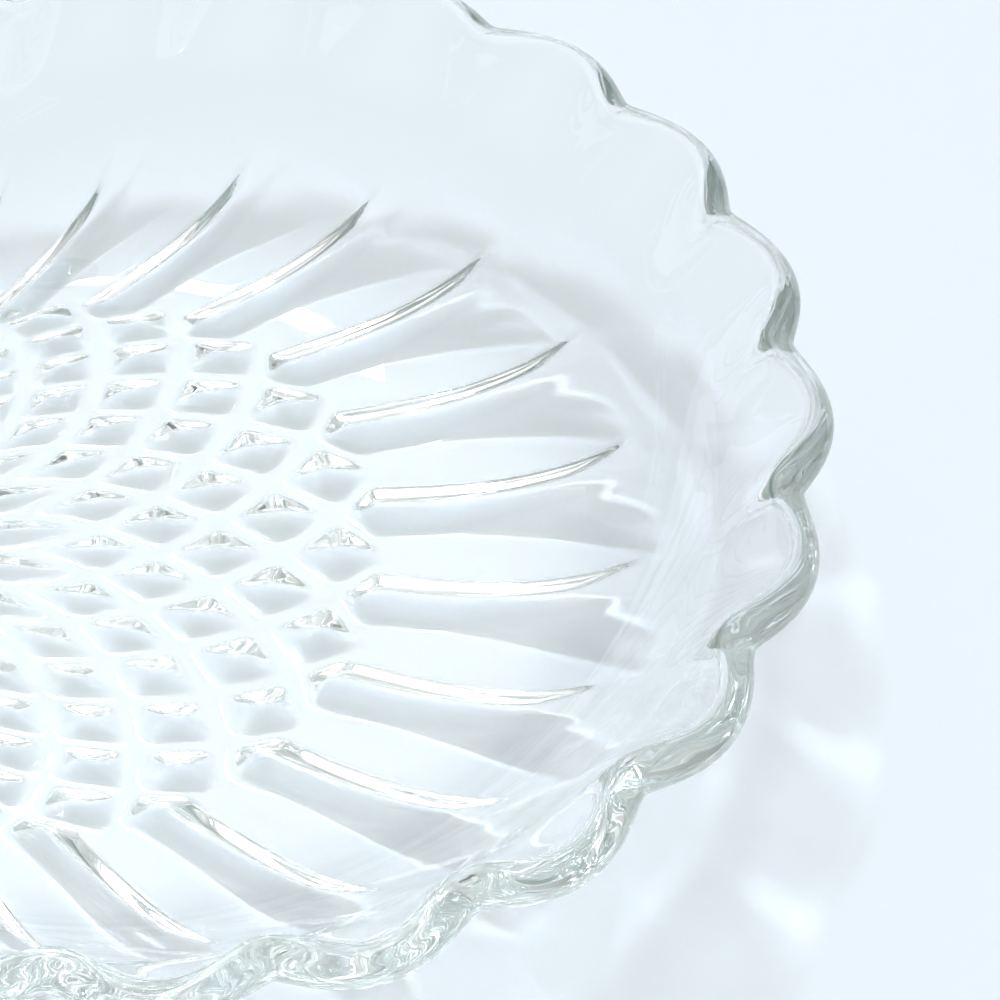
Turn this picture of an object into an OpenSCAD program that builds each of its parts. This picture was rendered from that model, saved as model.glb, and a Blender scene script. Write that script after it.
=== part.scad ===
// Scallop shell dish in clear pressed glass.
// Every row of the pattern lies on a circle and every petal on a ray. The rays fan out from one
// point near the hinge to the notches of the rim, and the circles grow from that point to the rim,
// as on a scallop shell.
// The dish is one moulding. It is drawn here in the zones that the mould forms, which meet face
// to face along the same rows and rays.

/* [Outline] */
// Radius of the rim, measured to the notches between the scallops
rim_r = 95; // [75:1:130]
// How far a scallop stands out past its notches
scallop_h = 4.5; // [2:0.5:8]
// Level length of the crease that runs down from each notch
crease_len = 10; // [6:0.5:16]
// How far the straight hinge edge is cut in from the round of the rim
hinge_cut = 3; // [1:0.5:6]
// Angle that the hinge and its two ears take up, seen from the middle of the rim
hinge_angle = 69; // [60:1:90]
// Height of the rim above the table
dish_h = 44; // [30:1:60]

/* [Wall] */
// Level run of the wall from the floor to the rim at the front
front_run = 63; // [50:1:75]
// Level run of the wall from the floor to the rim at the hinge
back_run = 20; // [12:0.5:26]
// How the wall curls up, where 1 is a straight cone
wall_curl = 3; // [1.6:0.1:4]
// Thickness of the wall
wall_t = 4.5; // [3.5:0.1:6]
// Thickness of the rim
rim_t = 6.4; // [5:0.1:8]
// How far the rounded edge of the rim stands up past the wall
rim_cap = 2; // [1:0.1:3]
// Level width of the rim band, inside the notches
rim_band = 8; // [5:0.5:10]

/* [Floor] */
// Thickness of the floor
floor_t = 7; // [6:0.1:9]
// Distance from the back of the floor to the point where the rays meet
fan_gap = 3; // [2:0.5:6]
// Length of the plain umbo in front of that point
umbo_len = 16; // [10:1:24]

/* [Petals] */
// Number of petal flutes, each below a notch of the rim
petals = 18; // [12:2:20]
// Distance from the middle of the first row of the lattice to the roots of the petals
root_gap = 1.5; // [0:0.5:4]
// Length of a petal on the middle ray
petal_len = 49; // [30:1:54]
// Width of a petal
petal_w = 13; // [6:0.5:15]
// Depth of a petal at its root
petal_depth = 3.4; // [1.5:0.1:3.8]
// Depth of a petal at its tip
tip_depth = 2.7; // [0.8:0.1:3.2]

/* [Lattice] */
// Number of staggered rows of diamond hollows
cell_rows = 5; // [3:1:6]
// Distance between two rows on the middle ray
row_pitch = 10; // [7:0.5:11]
// Distance from the edge of the floor to the middle of the first row
row_inset = 7.5; // [5:0.5:10]
// Depth of a diamond hollow in the first row
cell_depth = 2.7; // [1:0.1:3.5]
// Depth of the long flutes between the lattice and the umbo
flute_depth = 1.8; // [0.6:0.1:2.5]
// Flat land left between two hollows of the first row
land_w = 2; // [1:0.1:3]

/* [Hidden] */
glass = [0.86, 0.90, 0.89];

// Fan of rays and family of circles, both measured from the centre of the rim
notch = (360 - hinge_angle) / (petals - 1);
floor_front = rim_r - front_run;
floor_back = rim_r - back_run;
fan_x = floor_back - fan_gap;
umbo_front = umbo_len - fan_x;
umbo_back = fan_x + fan_gap / 2;
hinge_x = rim_r - hinge_cut;
// The origin is below the middle of the whole outline
mid_x = (rim_r + scallop_h - hinge_x) / 2;

// Rows of the pattern, by the place where they cross the middle ray
first_row = floor_front - row_inset;
last_row = first_row - (cell_rows - 0.5) * row_pitch;
petal_root = first_row + root_gap;
petal_tip = petal_root + petal_len;

// Levels along the wall: 0 is the edge of the floor and 1 is the rim
tip_u = (petal_tip - floor_front) / front_run;
crease_u = 1 - crease_len / front_run;
band_u = 1 - rim_band / front_run;

// Soft forms: the bottom of a notch, the curl of its crease and the square of the rim
notch_soft = 0.25;
crease_curl = 1.5;
rim_square = 0.6;
// Ends of the hollows: the point and the blunt end of a petal, and the nose of a flute as a share
// of its length
root_len = 7;
end_len = 3;
flute_nose = 0.25;

// How finely the surfaces are cut
per_step = 6;
root_cuts = 3;
wall_cuts = 8;
upper_cuts = 3;
band_cuts = 2;
bead_cuts = 7;
back_cuts = 14;
flute_cuts = 4;
probe = 0.01;

function mix(a, b, t) = a + (b - a) * t;
function clamp(t) = max(0, min(1, t));
function unit(v) = v / norm(v);

// Front end, back end, centre and radius of the circle at a level
function ring_front(u) = floor_front + u * (u < 0 ? floor_front - umbo_front : front_run);
function ring_back(u) = floor_back + u * (u < 0 ? floor_back - umbo_back : back_run);
function ring_mid(u) = (ring_front(u) - ring_back(u)) / 2;
function ring_rad(u) = (ring_front(u) + ring_back(u)) / 2;
function level_of(front) = (front - floor_front) / (floor_front - umbo_front);

// Rays are counted from the middle of the front, so each half number is a petal and its notch
function ray_angle(a) = atan2(rim_r * sin(a * notch), rim_r * cos(a * notch) + fan_x);

// Where a ray meets the circle at a level, measured from the circle's own centre
function spoke(a, u) =
    let (d = -fan_x - ring_mid(u), r = ring_rad(u), th = ray_angle(a),
         t = -d * cos(th) + sqrt(r * r - pow(d * sin(th), 2)))
    [d + t * cos(th), t * sin(th)];

// Extra reach of the rim: round scallops in front, and at the back two ears with a straight hinge
// edge between them
ear = acos(hinge_x / (rim_r + scallop_h));
function soft(s) = sqrt(s * s + notch_soft * notch_soft) - notch_soft;
function scallop(off) = scallop_h * (1 - pow(1 - soft(1 - abs(off)) / soft(1), 2));
function hinge_reach(back) =
    back < ear ? hinge_x / cos(back) - rim_r : scallop((back - ear) / (hinge_angle / 2 - ear));
function rim_reach(a) =
    abs(a) <= (petals - 1) / 2 ? scallop(2 * (a - round(a))) : hinge_reach(abs(180 - abs(a) * notch));

// Middle surface of the glass
rim_z = dish_h - (rim_t / 2 + rim_cap) / 2;
function reach_share(u) = pow(clamp((u - crease_u) / (1 - crease_u)), crease_curl);
function middle_z(u) = mix(floor_t / 2, rim_z, pow(max(u, 0), wall_curl));
function middle(a, u) =
    let (v = spoke(a, u), k = 1 + reach_share(u) * rim_reach(a) / ring_rad(u))
    [ring_mid(u) + v[0] * k - mid_x, v[1] * k, middle_z(u)];
function along(a, u) = unit(middle(a, u) - middle(a, u - probe));
function across(a, u) = unit(middle(a + probe, u) - middle(a - probe, u));
function normal(a, u) = u <= 0 ? [0, 0, 1] : unit(cross(along(a, u), across(a, u)));
function thick(u) =
    u < band_u ? mix(floor_t, wall_t, clamp(u / tip_u))
               : mix(wall_t, rim_t, (u - band_u) / (1 - band_u));

// Pressed pattern: depth of the hollow under each point. Each hollow is a roof turned upside down.
ray_step = notch * PI / 180 * rim_r / (rim_r + fan_x);
function ray_gap(front) = ray_step * (front + fan_x);
cell_w = ray_gap(first_row) * row_pitch / norm([ray_gap(first_row) / 2, row_pitch]);
cell_half = (1 - land_w / cell_w) / 2;
function petal_hollow(off, front) =
    let (t = front - petal_root, side = abs(off) * ray_gap(front) / (petal_w / 2))
    mix(petal_depth, tip_depth, t / petal_len)
    * max(0, min(min(1, t / root_len) - side, (petal_len - t) / end_len));
function cell_hollow(p, q, front) =
    let (side = max(abs(p - round(p)), abs(q - round(q))))
    cell_depth * ray_gap(front) / ray_gap(first_row) * max(0, 1 - side / cell_half);
function flute_hollow(off, s) =
    flute_depth * max(0, 1 - s) * max(0, min(1, s / flute_nose) - abs(off) / cell_half);
function hollow(a, u) =
    let (front = ring_front(u), b = (first_row - front) / row_pitch,
         p = a + b / 2, q = a - b / 2, row = round(p) - round(q), off = a - floor(a) - 0.5)
    abs(a) > petals / 2 ? 0
    : row < 0 ? petal_hollow(off, front)
    : row >= cell_rows ? flute_hollow(cell_rows % 2 == 1 ? off : a - round(a),
                                      (last_row - front) / (last_row - umbo_front))
    : abs(round(p) + round(q)) < petals ? cell_hollow(p, q, front) : 0;

function inner(a, u) = middle(a, u) + normal(a, u) * thick(u) / 2;
function outer(a, u) = middle(a, u) - normal(a, u) * (thick(u) / 2 - hollow(a, u));

// Rays and levels that the zones share
front_rays = [for (i = [0 : petals * per_step]) i / per_step - petals / 2];
back_rays = [for (i = [0 : back_cuts]) mix(petals / 2, 360 / notch - petals / 2, i / back_cuts)];
function turn(a) = a * notch > 180 ? a - 360 / notch : a;
petal_levels = [for (i = [0 : wall_cuts]) tip_u * i / wall_cuts];
upper_levels = [for (i = [0 : upper_cuts]) mix(tip_u, band_u, i / upper_cuts)];
band_levels = [for (i = [0 : band_cuts]) mix(band_u, 1, i / band_cuts)];
wall_levels = concat(petal_levels, [for (i = [1 : upper_cuts]) upper_levels[i]],
                     [for (i = [1 : band_cuts]) band_levels[i]]);

// One cut through a zone on one ray: up the inside, round the bead if it has one, down the outside
function squared(w) = sign(w) * pow(abs(w), rim_square);
function bead(a) =
    let (c = middle(a, 1), n = normal(a, 1), t = along(a, 1))
    [for (i = [1 : bead_cuts - 1]) let (w = 180 * i / bead_cuts)
        c + rim_t / 2 * squared(cos(w)) * n + rim_cap * squared(sin(w)) * t];
function cut(a, levels, beaded) =
    concat([for (u = levels) inner(a, u)],
           beaded ? bead(a) : [],
           [for (i = [len(levels) - 1 : -1 : 0]) outer(a, levels[i])]);

// Solid swept through a list of cuts that have the same number of points
module swept(cuts) {
    n = len(cuts[0]);
    last = len(cuts) - 1;
    sides = [for (j = [0 : last - 1], k = [0 : n - 1]) let (a = j * n + k, b = a + n)
        each k < n - 1 ? [[a, a + 1, b + 1], [a, b + 1, b]]
                       : [[a, j * n, b], [j * n, j * n + n, b]]];
    ends = [for (k = [0 : n / 2 - 2]) let (m = n - 1 - k, e = last * n)
        each [[k, m, m - 1], [k, m - 1, k + 1], [e + k, e + m - 1, e + m], [e + k, e + k + 1, e + m - 1]]];
    polyhedron([for (c = cuts) each c], concat(sides, ends));
}

module front_zone(levels, beaded = false) {
    swept([for (a = front_rays) cut(a, levels, beaded)]);
}

// Flat floor: plain above, with the lattice and the long flutes pressed into its underside
module lattice_floor() {
    rays = concat(front_rays, [for (i = [1 : back_cuts - 1]) back_rays[i]]);
    n = len(rays);
    fronts = concat([for (i = [0 : root_cuts - 1]) mix(floor_front, first_row, i / root_cuts)],
                    [for (i = [0 : 2 * cell_rows - 1]) first_row - i * row_pitch / 2],
                    [for (i = [1 : flute_cuts]) mix(last_row, umbo_front, i / flute_cuts)]);
    rows = len(fronts);
    points = concat([for (a = rays) inner(turn(a), 0)],
                    [for (f = fronts, a = rays) outer(turn(a), level_of(f))]);
    top = [[for (j = [n - 1 : -1 : 0]) j]];
    bottom = [[for (j = [0 : n - 1]) rows * n + j]];
    edge = [for (j = [0 : n - 1]) let (k = (j + 1) % n) each [[j, k, n + k], [j, n + k, n + j]]];
    under = [for (i = [1 : rows - 1], j = [0 : n - 1]) let (k = (j + 1) % n)
        each [[i * n + j, i * n + k, i * n + n + k], [i * n + j, i * n + n + k, i * n + n + j]]];
    color(glass) polyhedron(points, concat(top, edge, under, bottom));
}

// Lower wall with a petal flute on every ray
module petal_wall() {
    color(glass) front_zone(petal_levels);
}

// Plain wall between the tips of the petals and the rim band
module upper_wall() {
    color(glass) front_zone(upper_levels);
}

// Scalloped rim band with its rounded bead
module scalloped_rim() {
    color(glass) front_zone(band_levels, beaded = true);
}

// Steep plain wall behind the fan, with the two ears and the straight hinge edge
module hinge_wall() {
    color(glass) swept([for (a = back_rays) cut(turn(a), wall_levels, true)]);
}

lattice_floor();
petal_wall();
upper_wall();
scalloped_rim();
hinge_wall();
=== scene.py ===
"""Looks of a scallop shell dish in clear pressed glass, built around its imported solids.

The dish is one moulding, so one closed skin of glass stands for all of its zones. The plain skin is
laid out on the rays and circles of the shell, and a node tree presses the petals and the lattice
into its underside.
"""

import logging
import math
from dataclasses import dataclass, field
from enum import IntEnum

import bpy
import numpy as np
from mathutils import Matrix, Vector


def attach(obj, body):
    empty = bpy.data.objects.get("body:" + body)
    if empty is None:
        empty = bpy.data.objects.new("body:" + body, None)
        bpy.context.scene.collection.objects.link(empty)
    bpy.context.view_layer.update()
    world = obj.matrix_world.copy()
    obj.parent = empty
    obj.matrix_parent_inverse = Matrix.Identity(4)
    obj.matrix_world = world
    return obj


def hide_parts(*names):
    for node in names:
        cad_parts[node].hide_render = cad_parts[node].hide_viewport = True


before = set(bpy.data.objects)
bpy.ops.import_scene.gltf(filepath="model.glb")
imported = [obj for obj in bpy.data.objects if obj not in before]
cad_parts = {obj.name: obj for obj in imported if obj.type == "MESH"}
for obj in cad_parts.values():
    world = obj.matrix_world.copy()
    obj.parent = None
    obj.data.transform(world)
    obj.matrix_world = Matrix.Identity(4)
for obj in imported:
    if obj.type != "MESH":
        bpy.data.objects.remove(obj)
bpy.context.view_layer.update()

LOG = logging.getLogger("shell_dish")
MM = 0.001


class Skin(IntEnum):
    """Which face of the glass a point of the moulding lies on."""

    INSIDE = 0
    UNDERSIDE = 1


def linear(colour: str) -> tuple[float, float, float, float]:
    """Turns an sRGB colour into linear values.

    Args:
        colour: Hex colour such as "#EAF1F8".

    Returns:
        Linear red, green and blue, and an alpha of 1.
    """
    parts = [int(colour[i : i + 2], 16) / 255 for i in (1, 3, 5)]
    light = [c / 12.92 if c <= 0.04045 else ((c + 0.055) / 1.055) ** 2.4 for c in parts]
    return (*light, 1.0)


def add_node(tree: bpy.types.NodeTree, kind: str, inputs: dict | None = None, **settings) -> bpy.types.Node:
    """Adds one node with its settings, values and links.

    Args:
        tree: Tree that gets the node.
        kind: Blender's name of the node type.
        inputs: Value or output socket for each input, by the input's name or number.
        settings: Properties of the node.

    Returns:
        The new node.
    """
    node = tree.nodes.new(kind)
    for name, value in settings.items():
        setattr(node, name, value)
    for key, value in (inputs or {}).items():
        if isinstance(value, bpy.types.NodeSocket):
            tree.links.new(value, node.inputs[key])
        else:
            node.inputs[key].default_value = value
    return node


@dataclass(frozen=True)
class PressedGlass:
    """Soda-lime glass, pressed in a mould and fire-polished.

    The mould leaves slow ripples in the faces, and the polish leaves no grain. The iron in the
    melt tints long paths through the glass a faint grey-green, so the rim looks darker.
    """

    name: str = "pressed_soda_lime_glass"
    body: str = "#FFFFFF"
    depth_tint: str = "#C8D6CF"
    tint_density: float = 6.0
    ior: float = 1.52
    ripple_size: float = 9 * MM
    ripple_height: float = 0.06 * MM

    def material(self) -> bpy.types.Material:
        """Makes the material.

        Returns:
            Material with a clear surface, mould ripples and a tint that grows with depth.
        """
        made = bpy.data.materials.new(self.name)
        made.use_nodes = True
        tree = made.node_tree
        tree.nodes.clear()
        place = add_node(tree, "ShaderNodeTexCoord")
        ripple = add_node(
            tree,
            "ShaderNodeTexNoise",
            {"Vector": place.outputs["Object"], "Scale": 1 / self.ripple_size, "Detail": 1.0},
        )
        bump = add_node(
            tree,
            "ShaderNodeBump",
            {"Height": ripple.outputs["Fac"], "Strength": 1.0, "Distance": self.ripple_height},
        )
        surface = add_node(
            tree,
            "ShaderNodeBsdfPrincipled",
            {
                "Base Color": linear(self.body),
                "Roughness": 0.0,
                "IOR": self.ior,
                "Transmission Weight": 1.0,
                "Normal": bump.outputs["Normal"],
            },
        )
        depth = add_node(
            tree,
            "ShaderNodeVolumeAbsorption",
            {"Color": linear(self.depth_tint), "Density": self.tint_density},
        )
        add_node(
            tree,
            "ShaderNodeOutputMaterial",
            {"Surface": surface.outputs["BSDF"], "Volume": depth.outputs["Volume"]},
        )
        return made


@dataclass(frozen=True)
class PaintedTable:
    """Matt white paint, which shows the shadows and the light that the glass throws."""

    name: str = "matt_white_paint"
    colour: str = "#F0F6F8"

    def material(self) -> bpy.types.Material:
        """Makes the matt material."""
        made = bpy.data.materials.new(self.name)
        made.use_nodes = True
        tree = made.node_tree
        tree.nodes.clear()
        surface = add_node(
            tree, "ShaderNodeBsdfDiffuse", {"Color": linear(self.colour), "Roughness": 0.0}
        )
        add_node(tree, "ShaderNodeOutputMaterial", {"Surface": surface.outputs["BSDF"]})
        return made


@dataclass
class PressedPattern:
    """Petal flutes, diamond hollows and long flutes, pressed into the underside of the shell.

    Each hollow is a roof turned upside down: flat facets that meet in soft edges.
    """

    first_row: float
    fan_x: float
    umbo_front: float
    ray_step: float
    petals: int
    cell_rows: int = 5
    row_pitch: float = 10 * MM
    cell_depth: float = 3.2 * MM
    land_w: float = 3.2 * MM
    petal_root: float = 26 * MM
    petal_len: float = 49 * MM
    petal_w: float = 10.5 * MM
    petal_taper: float = 0.3
    petal_depth: float = 3.8 * MM
    root_len: float = 5 * MM
    end_len: float = 12 * MM
    flute_depth: float = 1.8 * MM
    flute_growth: float = 4.0
    edge_soft: float = 0.5 * MM
    ridge_soft: float = 0.03
    cell_blend: float = 0.2
    root_blend: float = 0.3
    end_blend: float = 0.15

    def sizes(self) -> dict[str, float]:
        """Sizes that the node tree takes, under the names of its inputs."""
        last_row = self.first_row - (self.cell_rows - 0.5) * self.row_pitch
        row_step = self.ray_step * (self.first_row + self.fan_x)
        cell_w = row_step * self.row_pitch / math.hypot(row_step / 2, self.row_pitch)
        return {
            "First Row": self.first_row,
            "Row Pitch": self.row_pitch,
            "Row Count": float(self.cell_rows),
            "Fan Reach": self.first_row + self.fan_x,
            "Ray Step": self.ray_step,
            "Petal Count": float(self.petals),
            "Cell Depth": self.cell_depth,
            "Cell Half": (1 - self.land_w / cell_w) / 2,
            "Petal Root": self.petal_root,
            "Petal Length": self.petal_len,
            "Petal Half": self.petal_w / 2,
            "Petal Depth": self.petal_depth,
            "Petal Taper": self.petal_taper,
            "Root Length": self.root_len,
            "End Slope": self.petal_len / self.end_len,
            "Last Row": last_row,
            "Flute Run": last_row - self.umbo_front,
            "Flute Depth": self.flute_depth,
            "Flute Growth": self.flute_growth,
            "Edge Soft": self.edge_soft,
            "Ridge Soft": self.ridge_soft,
            "Cell Blend": self.cell_blend,
            "Root Blend": self.root_blend,
            "End Blend": self.end_blend,
        }

    @staticmethod
    def steps() -> tuple[tuple, ...]:
        """Lists the pattern's formula, one step a line.

        Returns:
            Rows of a result's name, its operation, and its operands by name or as numbers. The
            names with capitals are inputs of the tree, and ray, front and underside come from
            the skin.
        """
        return (
            ("below first row", "SUBTRACT", "First Row", "front"),
            ("row number", "DIVIDE", "below first row", "Row Pitch"),
            ("half row", "MULTIPLY", "row number", 0.5),
            ("p", "ADD", "ray", "half row"),
            ("q", "SUBTRACT", "ray", "half row"),
            ("whole p", "ROUND", "p"),
            ("whole q", "ROUND", "q"),
            ("row", "SUBTRACT", "whole p", "whole q"),
            ("reach", "SUBTRACT", "Fan Reach", "below first row"),
            ("past p", "SUBTRACT", "p", "whole p"),
            ("past q", "SUBTRACT", "q", "whole q"),
            ("side p", "ABSOLUTE", "past p"),
            ("side q", "ABSOLUTE", "past q"),
            ("cell side", "SMOOTH_MAX", "side p", "side q", "Cell Blend"),
            ("cell slope", "DIVIDE", "cell side", "Cell Half"),
            ("cell rise", "SUBTRACT", 1.0, "cell slope"),
            ("cell size", "DIVIDE", "reach", "Fan Reach"),
            ("cell deep", "MULTIPLY", "cell rise", "Cell Depth"),
            ("cell", "MULTIPLY", "cell deep", "cell size"),
            ("from ray", "FRACT", "ray"),
            ("off", "SUBTRACT", "from ray", 0.5),
            ("across", "ABSOLUTE", "off"),
            ("ray gap", "MULTIPLY", "reach", "Ray Step"),
            ("across length", "MULTIPLY", "across", "ray gap"),
            ("along petal", "SUBTRACT", "front", "Petal Root"),
            ("petal run", "DIVIDE", "along petal", "Petal Length"),
            ("petal lost", "MULTIPLY", "petal run", "Petal Taper"),
            ("petal kept", "SUBTRACT", 1.0, "petal lost"),
            ("petal half", "MULTIPLY", "Petal Half", "petal kept"),
            ("petal side", "DIVIDE", "across length", "petal half"),
            ("petal side square", "MULTIPLY", "petal side", "petal side"),
            ("petal soft square", "ADD", "petal side square", "Ridge Soft"),
            ("petal slope", "SQRT", "petal soft square"),
            ("petal grow", "DIVIDE", "along petal", "Root Length"),
            ("petal wide", "SMOOTH_MIN", "petal grow", 1.0, "Root Blend"),
            ("petal rise", "SUBTRACT", "petal wide", "petal slope"),
            ("petal left", "SUBTRACT", 1.0, "petal run"),
            ("petal end", "MULTIPLY", "petal left", "End Slope"),
            ("petal shape", "SMOOTH_MIN", "petal rise", "petal end", "End Blend"),
            ("petal deep", "MULTIPLY", "Petal Depth", "petal kept"),
            ("petal", "MULTIPLY", "petal shape", "petal deep"),
            ("below last row", "SUBTRACT", "Last Row", "front"),
            ("flute run", "DIVIDE", "below last row", "Flute Run"),
            ("flute grow", "MULTIPLY", "flute run", "Flute Growth"),
            ("flute wide", "SMOOTH_MIN", "flute grow", 1.0, "Root Blend"),
            ("flute slope", "DIVIDE", "across", "Cell Half"),
            ("flute rise", "SUBTRACT", "flute wide", "flute slope"),
            ("flute left", "SUBTRACT", 1.0, "flute run"),
            ("flute fade", "MAXIMUM", "flute left", 0.0),
            ("flute deep", "MULTIPLY", "flute rise", "flute fade"),
            ("flute", "MULTIPLY", "flute deep", "Flute Depth"),
            ("in petals", "LESS_THAN", "row", -0.5),
            ("cell limit", "SUBTRACT", "Row Count", 0.5),
            ("in flutes", "GREATER_THAN", "row", "cell limit"),
            ("not cells", "ADD", "in petals", "in flutes"),
            ("twice column", "ADD", "whole p", "whole q"),
            ("twice out", "ABSOLUTE", "twice column"),
            ("whole cell", "LESS_THAN", "twice out", "Petal Count"),
            ("in cells", "GREATER_THAN", "whole cell", "not cells"),
            ("petal part", "MULTIPLY", "petal", "in petals"),
            ("cell part", "MULTIPLY", "cell", "in cells"),
            ("flute part", "MULTIPLY", "flute", "in flutes"),
            ("petals and cells", "ADD", "petal part", "cell part"),
            ("roof", "ADD", "petals and cells", "flute part"),
            ("hollow", "SMOOTH_MAX", "roof", 0.0, "Edge Soft"),
            ("out", "ABSOLUTE", "ray"),
            ("twice ray", "MULTIPLY", "out", 2.0),
            ("in fan", "LESS_THAN", "twice ray", "Petal Count"),
            ("pressed", "MULTIPLY", "in fan", "underside"),
            ("depth", "MULTIPLY", "hollow", "pressed"),
        )

    def tree(self, glass: bpy.types.Material) -> bpy.types.NodeTree:
        """Builds the node tree that presses the pattern.

        Args:
            glass: Material of the finished moulding.

        Returns:
            Geometry node tree with one named input for each size.
        """
        tree = bpy.data.node_groups.new("pressed_pattern", "GeometryNodeTree")
        tree.interface.new_socket("Geometry", in_out="INPUT", socket_type="NodeSocketGeometry")
        tree.interface.new_socket("Geometry", in_out="OUTPUT", socket_type="NodeSocketGeometry")
        for name in self.sizes():
            tree.interface.new_socket(name, in_out="INPUT", socket_type="NodeSocketFloat")
        start = add_node(tree, "NodeGroupInput")
        found = {name: start.outputs[name] for name in self.sizes()}
        for name in ("ray", "front", "underside"):
            found[name] = add_node(
                tree, "GeometryNodeInputNamedAttribute", {"Name": name}, data_type="FLOAT"
            ).outputs["Attribute"]
        for name, operation, *operands in self.steps():
            inputs = {i: found.get(x, x) for i, x in enumerate(operands)}
            node = add_node(tree, "ShaderNodeMath", inputs, operation=operation, label=name)
            found[name] = node.outputs[0]
        press = add_node(
            tree, "GeometryNodeInputNamedAttribute", {"Name": "press"}, data_type="FLOAT_VECTOR"
        )
        shift = add_node(
            tree,
            "ShaderNodeVectorMath",
            {"Vector": press.outputs["Attribute"], "Scale": found["depth"]},
            operation="SCALE",
        )
        moved = add_node(
            tree,
            "GeometryNodeSetPosition",
            {"Geometry": start.outputs["Geometry"], "Offset": shift.outputs["Vector"]},
        )
        real = add_node(tree, "GeometryNodeRealizeInstances", {"Geometry": moved.outputs["Geometry"]})
        dressed = add_node(
            tree,
            "GeometryNodeSetMaterial",
            {"Geometry": real.outputs["Geometry"], "Material": glass},
        )
        add_node(tree, "NodeGroupOutput", {"Geometry": dressed.outputs["Geometry"]})
        return tree

    def press(self, skin: bpy.types.Object, glass: bpy.types.Material) -> bpy.types.Object:
        """Presses the pattern into a plain skin and makes the result a plain mesh.

        Args:
            skin: Plain skin of the dish, with its ray, front, underside and press attributes.
            glass: Material of the finished moulding.

        Returns:
            The same object with the pressed mesh.
        """
        modifier = skin.modifiers.new("pattern", "NODES")
        modifier.node_group = self.tree(glass)
        sockets = modifier.node_group.interface.items_tree
        names = {s.name: s.identifier for s in sockets if s.in_out == "INPUT"}
        for name, value in self.sizes().items():
            modifier[names[name]] = value
        ready = skin.evaluated_get(bpy.context.evaluated_depsgraph_get())
        pressed = bpy.data.meshes.new_from_object(ready)
        plain = skin.data
        skin.modifiers.remove(modifier)
        skin.data = pressed
        bpy.data.meshes.remove(plain)
        for name in ("ray", "front", "underside", "press"):
            pressed.attributes.remove(pressed.attributes[name])
        return skin


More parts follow.
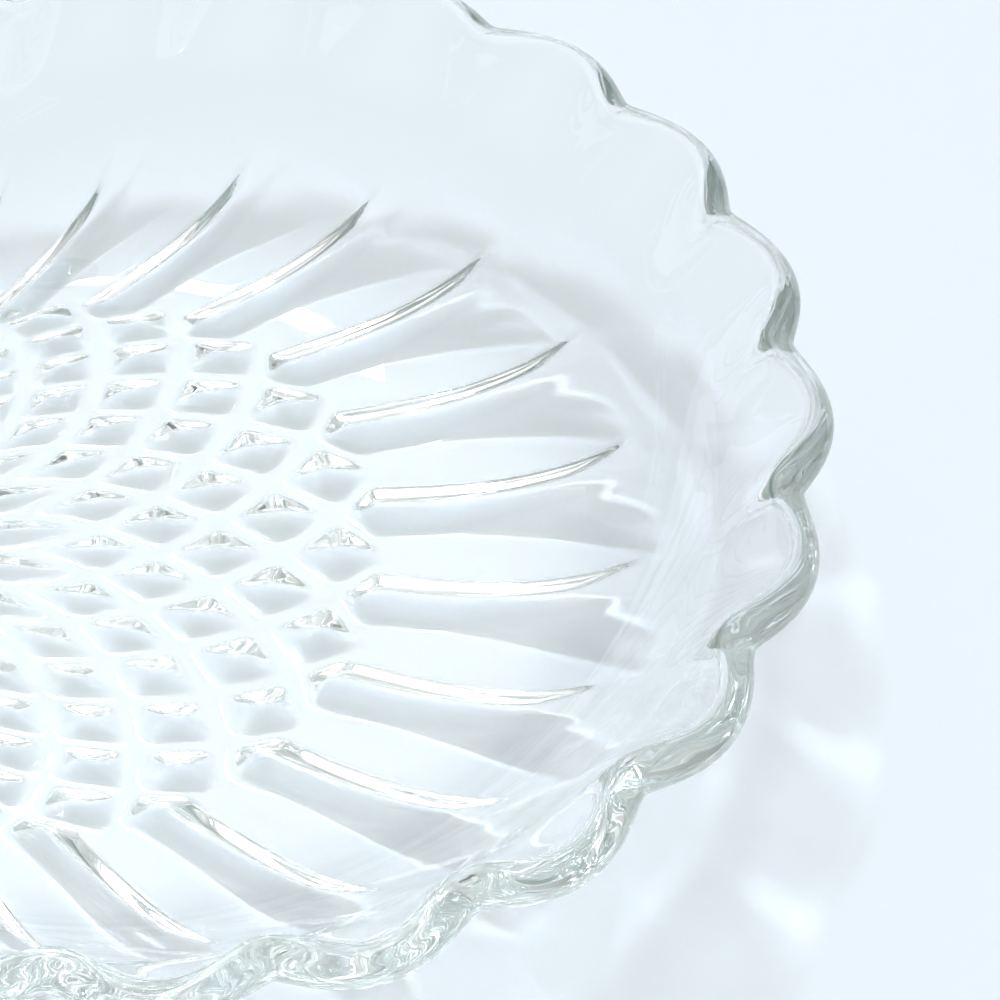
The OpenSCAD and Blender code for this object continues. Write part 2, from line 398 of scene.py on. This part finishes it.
@dataclass
class ShellDish:
    """The dish: circles that grow from a fan point near the hinge, and rays that fan out from it.

    Rays are counted from the middle of the front, and each half number is a petal and the notch
    of the rim above it.
    """

    rim_r: float = 95 * MM
    scallop_h: float = 4.5 * MM
    notch_soft: float = 0.25
    crease_curl: float = 1.5
    rim_square: float = 0.8
    hinge_cut: float = 3 * MM
    dish_h: float = 44 * MM
    front_run: float = 63 * MM
    back_run: float = 20 * MM
    wall_curl: float = 3.0
    wall_t: float = 4.5 * MM
    rim_t: float = 6.4 * MM
    rim_cap: float = 2 * MM
    rim_band: float = 8 * MM
    crease_len: float = 10 * MM
    floor_t: float = 7 * MM
    fan_gap: float = 3 * MM
    umbo_len: float = 16 * MM
    petals: int = 18
    hinge_angle: float = math.radians(69)
    petal_tip: float = 75 * MM
    row_inset: float = 7.5 * MM
    row_pitch: float = 10 * MM
    cell_rows: int = 5
    rays_per_petal: int = 25
    ray_gather: float = 0.2
    levels_per_row: int = 10
    back_rays: int = 40
    low_u: float = 0.3
    mid_u: float = 0.5
    low_levels: int = 22
    mid_levels: int = 5
    high_levels: int = 28
    bead_levels: int = 18
    band_levels: int = 6
    plain_levels: int = 12
    petal_levels: int = 40
    root_levels: int = 8
    flute_levels: int = 12
    finish: PressedGlass = field(default_factory=PressedGlass)

    def __post_init__(self) -> None:
        """Works out what follows from the driving sizes."""
        self.notch = (2 * math.pi - self.hinge_angle) / (self.petals - 1)
        self.floor_front = self.rim_r - self.front_run
        self.floor_back = self.rim_r - self.back_run
        self.fan_x = self.floor_back - self.fan_gap
        self.umbo_front = self.umbo_len - self.fan_x
        self.umbo_back = self.fan_x + self.fan_gap / 2
        self.hinge_x = self.rim_r - self.hinge_cut
        self.mid_x = (self.rim_r + self.scallop_h - self.hinge_x) / 2
        self.tip_u = (self.petal_tip - self.floor_front) / self.front_run
        self.crease_u = 1 - self.crease_len / self.front_run
        self.band_u = 1 - self.rim_band / self.front_run
        self.first_row = self.floor_front - self.row_inset
        self.ear = math.acos(self.hinge_x / (self.rim_r + self.scallop_h))

    def ring(self, u: np.ndarray) -> tuple[np.ndarray, np.ndarray]:
        """Finds the circle at a level.

        Args:
            u: Level, where -1 is the umbo, 0 the edge of the floor and 1 the rim.

        Returns:
            Front end and back end of the circle, both measured from the centre of the rim.
        """
        front = self.floor_front + u * np.where(
            u < 0, self.floor_front - self.umbo_front, self.front_run
        )
        back = self.floor_back + u * np.where(
            u < 0, self.floor_back - self.umbo_back, self.back_run
        )
        return front, back

    def spoke(self, a: np.ndarray, u: np.ndarray) -> tuple[np.ndarray, np.ndarray]:
        """Finds where a ray meets the circle at a level, from that circle's centre.

        Args:
            a: Number of the ray. Each ray runs from the fan point to its place on the rim.
            u: Level of the circle.

        Returns:
            Place along the dish and place across it.
        """
        front, back = self.ring(u)
        d = -self.fan_x - (front - back) / 2
        r = (front + back) / 2
        rim = a * self.notch
        th = np.arctan2(self.rim_r * np.sin(rim), self.rim_r * np.cos(rim) + self.fan_x)
        t = -d * np.cos(th) + np.sqrt(r * r - (d * np.sin(th)) ** 2)
        return d + t * np.cos(th), t * np.sin(th)

    def scallop(self, off: np.ndarray) -> np.ndarray:
        """Gives the height of a scallop.

        Args:
            off: Distance from the crown of the scallop, where 1 is the notch beside it.

        Returns:
            Height over the notches, which have soft bottoms.
        """
        soft = self.notch_soft
        rise = (np.hypot(1 - np.abs(off), soft) - soft) / (math.hypot(1, soft) - soft)
        return self.scallop_h * (1 - (1 - rise) ** 2)

    def reach(self, a: np.ndarray) -> np.ndarray:
        """Gives how far the rim stands out past its circle.

        Args:
            a: Number of the ray.

        Returns:
            Round scallops in front, and behind two ears with a straight hinge edge between them.
        """
        back = math.pi - np.abs(a) * self.notch
        hinge = self.hinge_x / np.cos(np.minimum(np.abs(back), self.ear)) - self.rim_r
        shoulder = self.scallop((back - self.ear) / (self.hinge_angle / 2 - self.ear))
        behind = np.where(back < self.ear, hinge, shoulder)
        front = self.scallop(2 * (a - np.round(a)))
        return np.where(np.abs(a) <= (self.petals - 1) / 2, front, behind)

    def middle(self, a: np.ndarray, u: np.ndarray) -> np.ndarray:
        """Gives points on the middle surface of the glass, with the coordinates in the last axis."""
        front, back = self.ring(u)
        x, y = self.spoke(a, u)
        share = np.clip((u - self.crease_u) / (1 - self.crease_u), 0, 1) ** self.crease_curl
        k = 1 + share * self.reach(a) / ((front + back) / 2)
        low, high = self.floor_t / 2, self.dish_h - (self.rim_t / 2 + self.rim_cap) / 2
        z = low + (high - low) * np.maximum(u, 0) ** self.wall_curl
        places = np.broadcast_arrays((front - back) / 2 + x * k - self.mid_x, y * k, z)
        return np.stack(places, axis=-1)

    def axes(self, a: np.ndarray, u: np.ndarray) -> tuple[np.ndarray, np.ndarray]:
        """Gives the directions of the glass: up the wall, and square to it towards the inside."""
        probe = 0.01
        along = self.middle(a, u) - self.middle(a, u - probe)
        across = self.middle(a + probe, u) - self.middle(a - probe, u)
        along /= np.linalg.norm(along, axis=-1, keepdims=True)
        normal = np.cross(along, across)
        normal /= np.linalg.norm(normal, axis=-1, keepdims=True)
        flat = np.broadcast_to((u <= 0)[..., None], normal.shape)
        return along, np.where(flat, np.array([0.0, 0.0, 1.0]), normal)

    def thickness(self, u: np.ndarray) -> np.ndarray:
        """Gives the thickness of the glass at a level."""
        share = np.clip(u / self.tip_u, 0, 1)
        wall = self.floor_t + (self.wall_t - self.floor_t) * share**2 * (3 - 2 * share)
        band = (u - self.band_u) / (1 - self.band_u)
        return np.where(u < self.band_u, wall, self.wall_t + (self.rim_t - self.wall_t) * band)

    def rays(self) -> np.ndarray:
        """Lists the numbers of all rays, once round the fan point and closer at the petals."""
        half = math.pi / self.notch
        count = self.petals * self.rays_per_petal
        front = (np.arange(count + 1) - count / 2) / self.rays_per_petal
        front += self.ray_gather * np.sin(2 * math.pi * front) / (2 * math.pi)
        ends = self.petals / 2, 2 * half - self.petals / 2
        back = np.linspace(*ends, self.back_rays + 2)[1:-1]
        return np.concatenate([front, np.where(back > half, back - 2 * half, back)])

    def inside_levels(self) -> np.ndarray:
        """Lists the levels of the inside, from the edge of the floor up to the rim."""
        return np.concatenate(
            [
                np.linspace(0, self.low_u, self.low_levels, endpoint=False),
                np.linspace(self.low_u, self.mid_u, self.mid_levels, endpoint=False),
                np.linspace(self.mid_u, 1, self.high_levels + 1),
            ]
        )[:, None]

    def under_levels(self) -> np.ndarray:
        """Lists the levels of the underside, from the rim down to the umbo."""
        to_umbo = self.floor_front - self.umbo_front
        pitch = self.row_pitch / self.levels_per_row
        count = round((self.cell_rows - 0.5) * self.levels_per_row)
        rows = self.first_row - np.arange(0, count + 1) * pitch
        roots = np.linspace(self.floor_front, self.first_row, self.root_levels, endpoint=False)
        flutes = np.linspace(rows[-1], self.umbo_front, self.flute_levels + 1)[1:]
        floor = (np.concatenate([roots, rows, flutes]) - self.floor_front) / to_umbo
        return np.concatenate(
            [
                np.linspace(1, self.band_u, self.band_levels, endpoint=False),
                np.linspace(self.band_u, self.tip_u, self.plain_levels, endpoint=False),
                np.linspace(self.tip_u, 0, self.petal_levels, endpoint=False),
                floor,
            ]
        )[:, None]

    def skin(self) -> bpy.types.Object:
        """Builds the plain closed skin: up the inside, round the bead and down the underside.

        Returns:
            Object with smooth faces, and with each point's ray, front, underside and press.
        """
        a = self.rays()[None, :]
        inside = self.inside_levels()
        under = self.under_levels()

        rings = []
        _, normal = self.axes(a, inside)
        rings.append(self.middle(a, inside) + normal * self.thickness(inside)[..., None] / 2)
        top = np.array([[1.0]])
        along, normal = self.axes(a, top)
        turn = np.linspace(0, math.pi, self.bead_levels + 2)[1:-1, None, None]
        out = self.rim_t / 2 * np.sign(np.cos(turn)) * np.abs(np.cos(turn)) ** self.rim_square
        rise = self.rim_cap * np.sin(turn) ** self.rim_square
        rings.append(self.middle(a, top) + out * normal + rise * along)
        _, normal = self.axes(a, under)
        rings.append(self.middle(a, under) - normal * self.thickness(under)[..., None] / 2)
        points = np.concatenate(rings)

        levels, count = points.shape[:2]
        i = np.arange(levels - 1)[:, None] * count
        j = np.arange(count)[None, :]
        k = (j + 1) % count
        quads = np.stack([i + j, i + count + j, i + count + k, i + k], axis=-1)
        faces = quads.reshape(-1, 4).tolist()
        faces.append(list(range(count)))
        faces.append([(levels - 1) * count + n for n in reversed(range(count))])

        mesh = bpy.data.meshes.new("pressed_glass_dish")
        mesh.from_pydata(points.reshape(-1, 3).tolist(), [], faces)
        mesh.shade_smooth()
        side = np.full((levels, count), float(Skin.INSIDE))
        side[-len(under) :] = Skin.UNDERSIDE
        fronts = np.zeros((levels, count))
        fronts[-len(under) :] = self.ring(under)[0]
        press = np.zeros_like(points)
        press[-len(under) :] = normal
        values = {"ray": np.broadcast_to(a, (levels, count)), "front": fronts, "underside": side}
        for name, value in values.items():
            mesh.attributes.new(name, "FLOAT", "POINT").data.foreach_set("value", value.ravel())
        mesh.attributes.new("press", "FLOAT_VECTOR", "POINT").data.foreach_set("vector", press.ravel())
        made = bpy.data.objects.new("pressed_glass_dish", mesh)
        bpy.context.scene.collection.objects.link(made)
        return made

    def build(self) -> bpy.types.Object:
        """Builds the dish, presses its pattern and puts it on its body.

        Returns:
            The finished piece, which stands for every zone of the moulding.
        """
        pattern = PressedPattern(
            first_row=self.first_row,
            fan_x=self.fan_x,
            umbo_front=self.umbo_front,
            ray_step=self.notch * self.rim_r / (self.rim_r + self.fan_x),
            petals=self.petals,
            cell_rows=self.cell_rows,
            row_pitch=self.row_pitch,
        )
        dish = pattern.press(self.skin(), self.finish.material())
        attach(dish, "root")
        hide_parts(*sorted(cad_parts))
        return dish


@dataclass
class Studio:
    """Pale table, soft dome of light with a bright window, one lamp, and the camera.

    The window and the lamp stand on the far side. The flutes throw the lamp's light aside, which
    leaves a net of light and grey bands on the table, and they show the window themselves.
    """

    table_w: float = 16.0
    table_gap: float = 0.2 * MM
    table: PaintedTable = field(default_factory=PaintedTable)
    lamp_strength: float = 0.97
    lamp_colour: str = "#DBE8FF"
    lamp_angle: float = math.radians(8)
    lamp_tilt: float = math.radians(28.5)
    lamp_turn: float = math.radians(115)
    dome_low: str = "#4E5356"
    dome_high: str = "#F0F2F2"
    window: str = "#FFFFFF"
    window_level: float = 1.5
    window_tilt: float = math.radians(40)
    window_turn: float = math.radians(105)
    window_half: float = math.radians(28)
    window_soft: float = math.radians(14)
    look_at: tuple[float, float, float] = (47.25 * MM, 13.7 * MM, 0.0)
    azimuth: float = math.radians(0.26)
    elevation: float = math.radians(53.7)
    distance: float = 437 * MM
    roll: float = math.radians(0.56)
    lens: float = 92.6
    sensor: float = 36.0
    clip_start: float = 10 * MM
    bounces: int = 128

    def build_table(self) -> bpy.types.Object:
        """Lays the table just under the lands of the pattern."""
        half = self.table_w / 2
        mesh = bpy.data.meshes.new("table")
        corners = [(-half, -half), (half, -half), (half, half), (-half, half)]
        mesh.from_pydata([(x, y, -self.table_gap) for x, y in corners], [], [(0, 1, 2, 3)])
        mesh.materials.append(self.table.material())
        made = bpy.data.objects.new("table", mesh)
        bpy.context.scene.collection.objects.link(made)
        return made

    @staticmethod
    def towards(tilt: float, turn: float) -> Vector:
        """Gives the direction to a light.

        Args:
            tilt: Angle from straight overhead.
            turn: Angle about the vertical, from +X towards +Y.

        Returns:
            Direction of length 1.
        """
        flat = math.sin(tilt)
        return Vector((flat * math.cos(turn), flat * math.sin(turn), math.cos(tilt)))

    def build_lamp(self) -> bpy.types.Object:
        """Hangs the lamp, which throws the net of light and doesn't show in plain reflections."""
        lamp = bpy.data.lights.new("lamp", "SUN")
        lamp.energy = self.lamp_strength
        lamp.color = linear(self.lamp_colour)[:3]
        lamp.angle = self.lamp_angle
        made = bpy.data.objects.new("lamp", lamp)
        made.rotation_mode = "QUATERNION"
        made.rotation_quaternion = self.towards(self.lamp_tilt, self.lamp_turn).to_track_quat("Z", "Y")
        made.visible_glossy = False
        bpy.context.scene.collection.objects.link(made)
        return made

    def build_dome(self) -> bpy.types.World:
        """Makes the dome of soft light, darker at the level of the table, with its window."""
        world = bpy.data.worlds.new("studio_dome")
        world.use_nodes = True
        tree = world.node_tree
        tree.nodes.clear()
        place = add_node(tree, "ShaderNodeTexCoord")
        height = add_node(tree, "ShaderNodeSeparateXYZ", {"Vector": place.outputs["Generated"]})
        blend = add_node(
            tree,
            "ShaderNodeMix",
            {
                "Factor": height.outputs["Z"],
                "A": linear(self.dome_low),
                "B": linear(self.dome_high),
            },
            data_type="RGBA",
        )
        facing = add_node(
            tree,
            "ShaderNodeVectorMath",
            {0: place.outputs["Generated"], 1: self.towards(self.window_tilt, self.window_turn)},
            operation="DOT_PRODUCT",
        )
        edge = add_node(
            tree,
            "ShaderNodeMapRange",
            {
                "Value": facing.outputs["Value"],
                "From Min": math.cos(self.window_half + self.window_soft),
                "From Max": math.cos(self.window_half - self.window_soft),
            },
            interpolation_type="SMOOTHSTEP",
        )
        bright = [self.window_level * c for c in linear(self.window)[:3]] + [1.0]
        sky = add_node(
            tree,
            "ShaderNodeMix",
            {"Factor": edge.outputs["Result"], "B": bright},
            data_type="RGBA",
        )
        tree.links.new(blend.outputs["Result"], sky.inputs["A"])
        light = add_node(tree, "ShaderNodeBackground", {"Strength": 1.0})
        tree.links.new(sky.outputs["Result"], light.inputs["Color"])
        add_node(tree, "ShaderNodeOutputWorld", {"Surface": light.outputs["Background"]})
        bpy.context.scene.world = world
        return world

    def build_camera(self) -> bpy.types.Object:
        """Sets up the camera at the photograph's viewing angle."""
        lens = bpy.data.cameras.new("camera")
        lens.lens = self.lens
        lens.sensor_width = self.sensor
        lens.clip_start = self.clip_start
        back = Vector(
            (
                math.sin(self.azimuth) * math.cos(self.elevation),
                -math.cos(self.azimuth) * math.cos(self.elevation),
                math.sin(self.elevation),
            )
        )
        right = Vector((math.cos(self.azimuth), math.sin(self.azimuth), 0.0))
        up = back.cross(right)
        side = math.cos(self.roll) * right + math.sin(self.roll) * up
        made = bpy.data.objects.new("camera", lens)
        turn = Matrix((side, back.cross(side), back)).transposed().to_4x4()
        made.matrix_world = Matrix.Translation(Vector(self.look_at) + self.distance * back) @ turn
        bpy.context.scene.collection.objects.link(made)
        bpy.context.scene.camera = made
        return made

    def build(self) -> None:
        """Builds the table, the light and the camera, and sets how light is traced."""
        self.build_table()
        self.build_lamp()
        self.build_dome()
        self.build_camera()
        scene = bpy.context.scene
        scene.view_settings.view_transform = "Standard"
        scene.cycles.max_bounces = self.bounces
        scene.cycles.transmission_bounces = self.bounces
        scene.cycles.glossy_bounces = self.bounces
        scene.cycles.sample_clamp_indirect = 0.0
        scene.cycles.blur_glossy = 0.0
        scene.cycles.use_guiding = True


def main() -> None:
    """Builds the studio and the dish."""
    logging.basicConfig(level=logging.INFO, format="%(message)s")
    Studio().build()
    dish = ShellDish().build()
    LOG.info("%s: %d faces", dish.name, len(dish.data.polygons))


if __name__ == "__main__":
    main()
